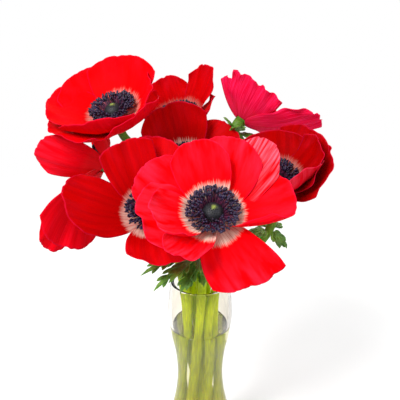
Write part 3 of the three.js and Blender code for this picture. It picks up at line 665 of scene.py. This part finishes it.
def petal_finish():
    """Scarlet with duller streaks that fan out from the claw. Painted shade darkens the red of the blooms
    that ask for it, most of all near the claw, and a faint painted sheen lies towards the margin. Pink
    flushes the outer part of a pale petal, partly its own pink and partly painted highlight. The margin has
    a fine darker line, the throat is cream with a fringed edge, and the back is a plainer red. The piece's
    attributes say where on its petal a point is."""
    material, nodes, links, shader = new_finish("petal_skin", (0.8, 0.0, 0.008), 0.62)
    shader.inputs["Specular IOR Level"].default_value = 0.02
    let_light_in(shader, weight=0.15, spread=(1.0, 0.08, 0.06), scale=0.002)

    def read(name):
        node = nodes.new("ShaderNodeAttribute")
        node.attribute_name = name
        return node.outputs["Fac"]

    def calculate(operation, a, b=0.0, c=0.0):
        node = nodes.new("ShaderNodeMath")
        node.operation = operation
        for socket, value in zip(node.inputs, (a, b, c)):
            if isinstance(value, (int, float)):
                socket.default_value = value
            else:
                links.new(value, socket)
        return node.outputs[0]

    def noise(x, y, z, detail):
        join = nodes.new("ShaderNodeCombineXYZ")
        for socket, value in zip(join.inputs, (x, y, z)):
            links.new(value, socket)
        node = nodes.new("ShaderNodeTexNoise")
        node.inputs["Scale"].default_value = 1
        node.inputs["Detail"].default_value = detail
        links.new(join.outputs[0], node.inputs["Vector"])
        return node.outputs["Fac"]

    def blend(share, a, b):
        node = nodes.new("ShaderNodeMix")
        node.data_type = "RGBA"
        links.new(share, node.inputs["Factor"])
        for socket, value in ((node.inputs["A"], a), (node.inputs["B"], b)):
            if isinstance(value, tuple):
                socket.default_value = (*value, 1)
            else:
                links.new(value, socket)
        return node.outputs["Result"]

    def ramp(value, low, high):
        return map_range(nodes, links, value, low, high)

    along, across, which, out, back = (read(n) for n in ("along", "across", "which", "out", "back"))
    light, cream, crimson, painted_shade = (read(n) for n in ("pink_and_highlight", "cream", "crimson", "painted_shade"))
    seed = calculate("MULTIPLY", which, 7.3)
    streak = noise(calculate("MULTIPLY_ADD", across, 9.0, seed), calculate("MULTIPLY", along, 1.1), seed, 3)
    vein = noise(calculate("MULTIPLY_ADD", across, 42.0, seed), calculate("MULTIPLY", along, 2.2), seed, 2)
    patch = noise(calculate("MULTIPLY", across, 2.0), calculate("MULTIPLY", along, 2.5), seed, 2)

    # red ground, darker in some blooms and darkest near the claw, both painted shade, under a faint painted
    # sheen and faint veins
    color = blend(ramp(streak, 0.35, 0.75), SCARLET, DULL_SCARLET)
    color = blend(painted_shade, color, blend(ramp(streak, 0.3, 0.7), SHADED_RED, SHADED_DULL_RED))
    # painted shade in the cup of the bloom, darkest at the claw
    cup_shade = calculate("MULTIPLY", calculate("MULTIPLY", painted_shade, 0.65), ramp(along, 0.7, 0.15))
    color = blend(cup_shade, color, CUP_SHADE_RED)
    # painted sheen: faint lighter patches towards the margin, in place of highlights on the folds
    painted_sheen = calculate("MULTIPLY", ramp(patch, 0.56, 0.8), ramp(along, 0.35, 0.8))
    color = blend(calculate("MULTIPLY", painted_sheen, 0.25), color, SHEEN_AND_VEIN_RED)
    lines = calculate("MULTIPLY", ramp(vein, 0.55, 0.75), ramp(along, 0.3, 1.0))
    color = blend(calculate("MULTIPLY", lines, 0.12), color, SHEEN_AND_VEIN_RED)

    # pink flush of the pale petals, partly their own pink and partly painted highlight, in streaks that lie
    # closer the paler the petal is
    close = calculate("MULTIPLY_ADD", light, 10.0, 3.0)
    fan = noise(calculate("MULTIPLY_ADD", across, close, seed), calculate("MULTIPLY", along, 2.0), seed, 3)
    outer = ramp(along, 0.35, 0.95)
    fan = calculate("MULTIPLY", ramp(fan, 0.38, 0.68), outer)
    fan = calculate("MULTIPLY", fan, calculate("POWER", light, 0.5))
    color = blend(fan, color, blend(calculate("POWER", light, 2.0), ROSE, PALE_PINK))

    # plainer back, crimson of the bloom that is seen from behind, and the line along the margin
    behind = blend(ramp(vein, 0.42, 0.64), BACK_RED, BACK_SCARLET)
    color = blend(calculate("MULTIPLY", back, 0.6), color, behind)
    color = blend(crimson, color, blend(ramp(vein, 0.4, 0.66), CRIMSON, BRIGHT_CRIMSON))
    edge = calculate("MAXIMUM", ramp(calculate("ABSOLUTE", across), 0.965, 1.0), ramp(along, 0.975, 1.0))
    color = blend(calculate("MULTIPLY", edge, 0.3), color, EDGE_RED)

    # cream throat, whose edge the fringe moves in and out, and hardly any cream on the back
    fringe = noise(calculate("MULTIPLY_ADD", across, 34.0, seed), calculate("MULTIPLY", seed, 3.0), seed, 2)
    ring = calculate("MULTIPLY_ADD", fringe, -6.0, calculate("ADD", out, 3.0))
    throat = calculate("SUBTRACT", 1.0, ramp(ring, *CREAM_ENDS))
    throat = calculate("MULTIPLY", throat, cream)
    throat = calculate("MULTIPLY", throat, calculate("MULTIPLY_ADD", back, -0.95, 1.0))
    color = blend(throat, color, blend(ramp(vein, 0.42, 0.66), CREAM, CREAM_VEIN))
    links.new(color, shader.inputs["Base Color"])
    add_bump(nodes, links, shader, vein, strength=0.08, distance=0.0004)
    return material


def add_value(piece, key, value):
    """Gives each point of a piece a number, which its finish reads by the key."""
    numbers = piece.data.attributes.new(key, "FLOAT", "POINT")
    numbers.data.foreach_set("value", value.ravel().astype(np.float32))


# Bloom: how much cream its throat shows, how far its petals turn crimson, and how much painted shade
# darkens their red
SHADES = {
    "front": (1, 0, 0),
    "top_left": (0.4, 0, 0.35),
    "left": (0.7, 0, 0.7),
    "middle": (0.9, 0, 0.9),
    "right": (0.3, 0, 1),
    "top_right": (0.25, 0.85, 0),
    "far_left": (0.3, 0, 0),
    "back": (0.3, 0, 0.7),
}

petal_skin = petal_finish()
row_share, col_share = petal_shares()
thickness = MARGIN_THICK + (CLAW_THICK - MARGIN_THICK) * (1 - row_share) * (1 - np.abs(col_share) ** 3)
for k, (name, given) in enumerate(PETALS.items()):
    own = np.stack([petal_grid(petal, 100 * k + n) for n, petal in enumerate(given)])
    place, heading, raised = BLOOMS[name][:3]
    points, faces = closed_sheets(own @ bloom_frame(heading, raised) + place, thickness)
    bloom = new_piece(name + "_petals", points, faces, petal_skin)
    both = np.ones((len(given), 2, PETAL_ROWS, PETAL_COLS))
    # the pale flush of each petal: its own pink, and painted highlight on the ruffled petals
    pink_and_highlight = np.array([{**PLAIN_PETAL, **petal}["pink_and_highlight"] for petal in given])
    values = {
        "along": both * row_share,
        "across": both * col_share,
        "which": both * np.arange(1, len(given) + 1)[:, None, None, None] + k,
        "out": both * np.hypot(own[..., 0], own[..., 1])[:, None],
        "back": both * np.array([0, 1])[None, :, None, None],
        "pink_and_highlight": both * pink_and_highlight[:, None, None, None],
        "cream": both * SHADES[name][0],
        "crimson": both * SHADES[name][1],
        "painted_shade": both * SHADES[name][2],
    }
    for key, value in values.items():
        add_value(bloom, key, value)
    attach(bloom, "root")
    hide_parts("petals_" + name)

# ---- Receptacles
# The petals grow from a small green button on the end of the stem, which shows only from behind.
# It is smooth and rounded, and widens from the stem to the claws. Heights and radii along its axis:
RECEPTACLE_PROFILE = np.array([
    (-2.0, 2.6), (-1.9, 3.1), (-1.5, 3.8), (-0.6, 4.5), (0.6, 4.9), (1.6, 4.8), (2.2, 4.0), (2.3, 3.0),
])
RECEPTACLE_ENDS = [(0, 0, -2.0), (0, 0, 2.3)]
RECEPTACLE_AROUND = 28

button_faces = ring_faces(len(RECEPTACLE_PROFILE), RECEPTACLE_AROUND)
for name in BLOOMS:
    place, heading, raised = BLOOMS[name][:3]
    own = np.concatenate([turned(RECEPTACLE_PROFILE, RECEPTACLE_AROUND).reshape(-1, 3), RECEPTACLE_ENDS])
    points = own @ bloom_frame(heading, raised) + place
    button = new_piece(name + "_receptacle", points, button_faces, stem_skin)
    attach(button, "root")
    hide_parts("petals_" + name)

# ---- Centres
# A dome of crowded pistils, almost black with a yellow-green crown, stands in a dense ring of stamens.
# Each stamen is a thin purple thread with a plump blue-black anther that leans out from the dome's foot.
DOME_FOOT = 2.6
DOME_RADIUS, DOME_HEIGHT = 6.2, 7.4
CORE_RISE, CORE_LONG, CORE_WIDE = 2.9, 4.3, 5.6
PISTILS = 190
PISTIL_LONG, PISTIL_WIDE = 0.85, 0.55
CROWN_SPOT, CROWN_FADE, CROWN_ABOVE = (0.3, 0.6), 1.1, 6
CROWN_GREEN = (0.3, 0.36, 0.06)
STAMENS = 320
STAMEN_ROOT, ROOT_RISE = 4.2, 0.4
STAMEN_REACH, RING_DEPTH = 5.9, 8.5
STAMEN_TOP, RING_FALL, UNEVEN = 7.8, 1.8, 1.1
THREAD_RADIUS, THREAD_BOW = 0.2, 1.2
GOLDEN_TURN = np.pi * (3 - np.sqrt(5))
ASKEW = [0.31, 0.17, 0.93]


def repeated(faces, step, count):
    """Faces of equal pieces whose points follow each other, with a step of points for each piece."""
    return [[v + n * step for v in face] for n in range(count) for face in faces]


def beads(places, ways, long, wide, rows, around):
    """Egg-shaped beads: at each place a sphere is stretched along its way to half its length, and to its
    half width across. Returns the points and faces of all beads."""
    ways = ways / np.linalg.norm(ways, axis=-1, keepdims=True)
    first = np.cross(ways, ASKEW)
    first /= np.linalg.norm(first, axis=-1, keepdims=True)
    second = np.cross(ways, first)
    polar = np.linspace(0, np.pi, rows + 2)[1:-1][None, :, None, None]
    turn = np.linspace(0, 2 * np.pi, around, endpoint=False)[None, None, :, None]
    long, wide = np.asarray(long).reshape(-1, 1, 1, 1), np.asarray(wide).reshape(-1, 1, 1, 1)
    middle, way, one, two = (v[:, None, None] for v in (places, ways, first, second))
    across = np.cos(turn) * one + np.sin(turn) * two
    rings = middle - long * np.cos(polar) * way + wide * np.sin(polar) * across
    ends = np.stack([middle - long * way, middle + long * way], axis=1).reshape(len(places), 2, 3)
    points = np.concatenate([rings.reshape(len(places), -1, 3), ends], axis=1)
    return points.reshape(-1, 3), repeated(ring_faces(rows, around), points.shape[1], len(places))


def threads(roots, tips, radius, rows, around):
    """Thin round threads from their roots to their tips. They bow upwards, by the share along the thread
    times the share that is left."""
    s = np.linspace(0, 1, rows)[None, :, None]
    line = roots[:, None] * (1 - s) + tips[:, None] * s + np.array([0, 0, THREAD_BOW]) * (s * (1 - s))
    ahead = tips - roots
    first = np.cross(ahead, ASKEW)
    first /= np.linalg.norm(first, axis=-1, keepdims=True)
    second = np.cross(ahead / np.linalg.norm(ahead, axis=-1, keepdims=True), first)
    turn = np.linspace(0, 2 * np.pi, around, endpoint=False)[None, None, :, None]
    across = np.cos(turn) * first[:, None, None] + np.sin(turn) * second[:, None, None]
    rings = line[:, :, None] + radius * across
    points = np.concatenate([rings.reshape(len(roots), -1, 3), line[:, :1], line[:, -1:]], axis=1)
    return points.reshape(-1, 3), repeated(ring_faces(rows, around), points.shape[1], len(roots))


def dark_finish(name, low, high, scale, roughness):
    """A near-black surface that mottles between two colours."""
    material, nodes, links, shader = new_finish(name, low, roughness)
    grain = noise_in_place(nodes, links, scale, detail=3)
    mottled = color_ramp(nodes, links, grain, [(0.38, low), (0.66, high)])
    links.new(mottled, shader.inputs["Base Color"])
    return material, nodes, links, shader


anther_skin = dark_finish("anther_skin", (0.003, 0.002, 0.01), (0.03, 0.016, 0.07), 900, 0.5)[0]
thread_skin = dark_finish("thread_skin", (0.03, 0.006, 0.03), (0.16, 0.02, 0.07), 600, 0.5)[0]
pistil_skin, nodes, links, shader = dark_finish(
    "pistil_skin", (0.002, 0.002, 0.004), (0.006, 0.006, 0.014), 900, 0.6)
crown = nodes.new("ShaderNodeAttribute")
crown.attribute_name = "crown"
dark = shader.inputs["Base Color"].links[0].from_socket
mix = nodes.new("ShaderNodeMix")
mix.data_type = "RGBA"
links.new(crown.outputs["Fac"], mix.inputs["Factor"])
links.new(dark, mix.inputs["A"])
mix.inputs["B"].default_value = (*CROWN_GREEN, 1)
links.new(mix.outputs["Result"], shader.inputs["Base Color"])

for k, name in enumerate(BLOOMS):
    place, heading, raised = BLOOMS[name][:3]
    turned_to = bloom_frame(heading, raised)
    draw = np.random.default_rng(1000 + k)

    n = np.arange(PISTILS)
    low = 1 - (n + 0.5) / PISTILS * 0.97
    out = np.sqrt(1 - low ** 2)
    turn = n * GOLDEN_TURN
    way = np.stack([out * np.cos(turn), out * np.sin(turn), low], axis=-1)
    seat = way * [DOME_RADIUS - 0.5, DOME_RADIUS - 0.5, DOME_HEIGHT - 0.6] + [0, 0, DOME_FOOT]
    core_middle, core_way = np.array([[0, 0, DOME_FOOT + CORE_RISE]]), np.array([[0, 0, 1.0]])
    core_points, core_faces = beads(core_middle, core_way, CORE_LONG, CORE_WIDE, 10, 18)
    bead_points, bead_faces = beads(seat, way, PISTIL_LONG, PISTIL_WIDE, 4, 7)
    faces = core_faces + [[v + len(core_points) for v in face] for face in bead_faces]
    own = np.concatenate([core_points, bead_points])
    dome = new_piece(name + "_dome", own @ turned_to + place, faces, pistil_skin)
    off_spot = np.hypot(own[:, 0] - CROWN_SPOT[0], own[:, 1] - CROWN_SPOT[1])
    spot = np.clip(1.4 - off_spot / CROWN_FADE, 0, 1) * (own[:, 2] > DOME_FOOT + CROWN_ABOVE)
    add_value(dome, "crown", spot)

    turn = np.arange(STAMENS) * GOLDEN_TURN + draw.uniform(-0.1, 0.1, STAMENS)
    layer = np.sqrt(draw.uniform(0, 1, STAMENS))
    reach = STAMEN_REACH + RING_DEPTH * layer
    top = DOME_FOOT + STAMEN_TOP - RING_FALL * layer + draw.uniform(-UNEVEN, UNEVEN, STAMENS)
    round_turn = np.stack([np.cos(turn), np.sin(turn)], axis=-1)
    roots = np.column_stack([round_turn * STAMEN_ROOT, np.full(STAMENS, DOME_FOOT + ROOT_RISE)])
    tips = np.column_stack([round_turn * reach[:, None], top])
    lean = (tips - roots) / np.linalg.norm(tips - roots, axis=1, keepdims=True)
    lean = lean + draw.normal(0, 0.28, (STAMENS, 3))
    long = draw.uniform(1.0, 1.35, STAMENS)
    wide = draw.uniform(0.5, 0.68, STAMENS)
    anther_points, anther_faces = beads(tips, lean, long, wide, 5, 8)
    thread_points, thread_faces = threads(roots, tips, THREAD_RADIUS, 4, 4)
    anthers = new_piece(name + "_anthers", anther_points @ turned_to + place, anther_faces, anther_skin)
    filaments = new_piece(name + "_threads", thread_points @ turned_to + place, thread_faces, thread_skin)
    for piece in (dome, anthers, filaments):
        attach(piece, "root")
        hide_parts("centre_" + name)

# ---- Floor, light and camera
# A plain pale floor just under the glass, which fades into a white backdrop, with soft light from above
# on both sides and from behind. The camera is where the photograph was taken: near the bunch, a little
# above it and looking down at it.
FLOOR_RADIUS, FLOOR_DROP, FLOOR_SIDES = 700, 0.4, 96
FLOOR_GREY = (0.92, 0.92, 0.92)
FADE_START, FADE_END = 0.06, 0.65
LIT_BY_BACKDROP, SEEN_THROUGH_GLASS = 0.32, 0.6
CAMERA_PLACE, CAMERA_DOWN, CAMERA_LENS = (0, -0.352, 0.3678), 24.2, 54

floor_turn = np.linspace(0, 2 * np.pi, FLOOR_SIDES, endpoint=False)
floor_x, floor_y = FLOOR_RADIUS * np.cos(floor_turn), FLOOR_RADIUS * np.sin(floor_turn)
floor_points = np.stack([floor_x, floor_y, 0 * floor_turn - FLOOR_DROP], axis=-1)
pale_floor, nodes, links, shader = new_finish("pale_floor", FLOOR_GREY, 0.9)
place = nodes.new("ShaderNodeTexCoord")
far = nodes.new("ShaderNodeVectorMath")
far.operation = "LENGTH"
links.new(place.outputs["Object"], far.inputs[0])
fade = map_range(nodes, links, far.outputs["Value"], FADE_START, FADE_END, 1, 0)
links.new(fade, shader.inputs["Alpha"])
floor = new_piece("floor", floor_points, [list(range(FLOOR_SIDES))], pale_floor)

# Light: its name, place, width and power. All three are aimed at the middle of the bunch.
LIGHTS = [
    ("key_light", (-0.6, -0.65, 1.15), 0.6, 22),
    ("fill_light", (0.9, -0.5, 0.8), 0.9, 7),
    ("back_light", (0.1, 0.9, 0.9), 0.9, 8),
]
for name, place, size, power in LIGHTS:
    lamp = bpy.data.lights.new(name, "AREA")
    lamp.size, lamp.energy = size, power
    light = bpy.data.objects.new(name, lamp)
    light.location = place
    aim = np.array([0, 0, 0.2]) - place
    tilt = np.arctan2(np.hypot(aim[0], aim[1]), -aim[2])
    light.rotation_euler = (tilt, 0, np.arctan2(aim[1], aim[0]) - np.pi / 2)
    bpy.context.scene.collection.objects.link(light)

# The backdrop is white where the camera sees it, dimmer as a light, and in between as seen through glass.
world = bpy.data.worlds.new("studio")
world.use_nodes = True
nodes, links = world.node_tree.nodes, world.node_tree.links
nodes["Background"].inputs["Color"].default_value = (1, 1, 1, 1)
seen = nodes.new("ShaderNodeLightPath")
through = nodes.new("ShaderNodeMath")
through.operation = "MULTIPLY_ADD"
through.inputs[1].default_value = SEEN_THROUGH_GLASS
links.new(seen.outputs["Is Transmission Ray"], through.inputs[0])
links.new(seen.outputs["Is Camera Ray"], through.inputs[2])
backdrop = map_range(nodes, links, through.outputs[0], 0, 1, LIT_BY_BACKDROP, 1.0)
links.new(backdrop, nodes["Background"].inputs["Strength"])
bpy.context.scene.world = world
bpy.context.scene.view_settings.view_transform = "Standard"

camera = bpy.data.objects.new("camera", bpy.data.cameras.new("camera"))
camera.data.sensor_width = 36
camera.data.lens = CAMERA_LENS
camera.data.clip_start = 0.01
camera.location = CAMERA_PLACE
camera.rotation_euler = (np.radians(90 - CAMERA_DOWN), 0, 0)
bpy.context.scene.collection.objects.link(camera)
bpy.context.scene.camera = camera
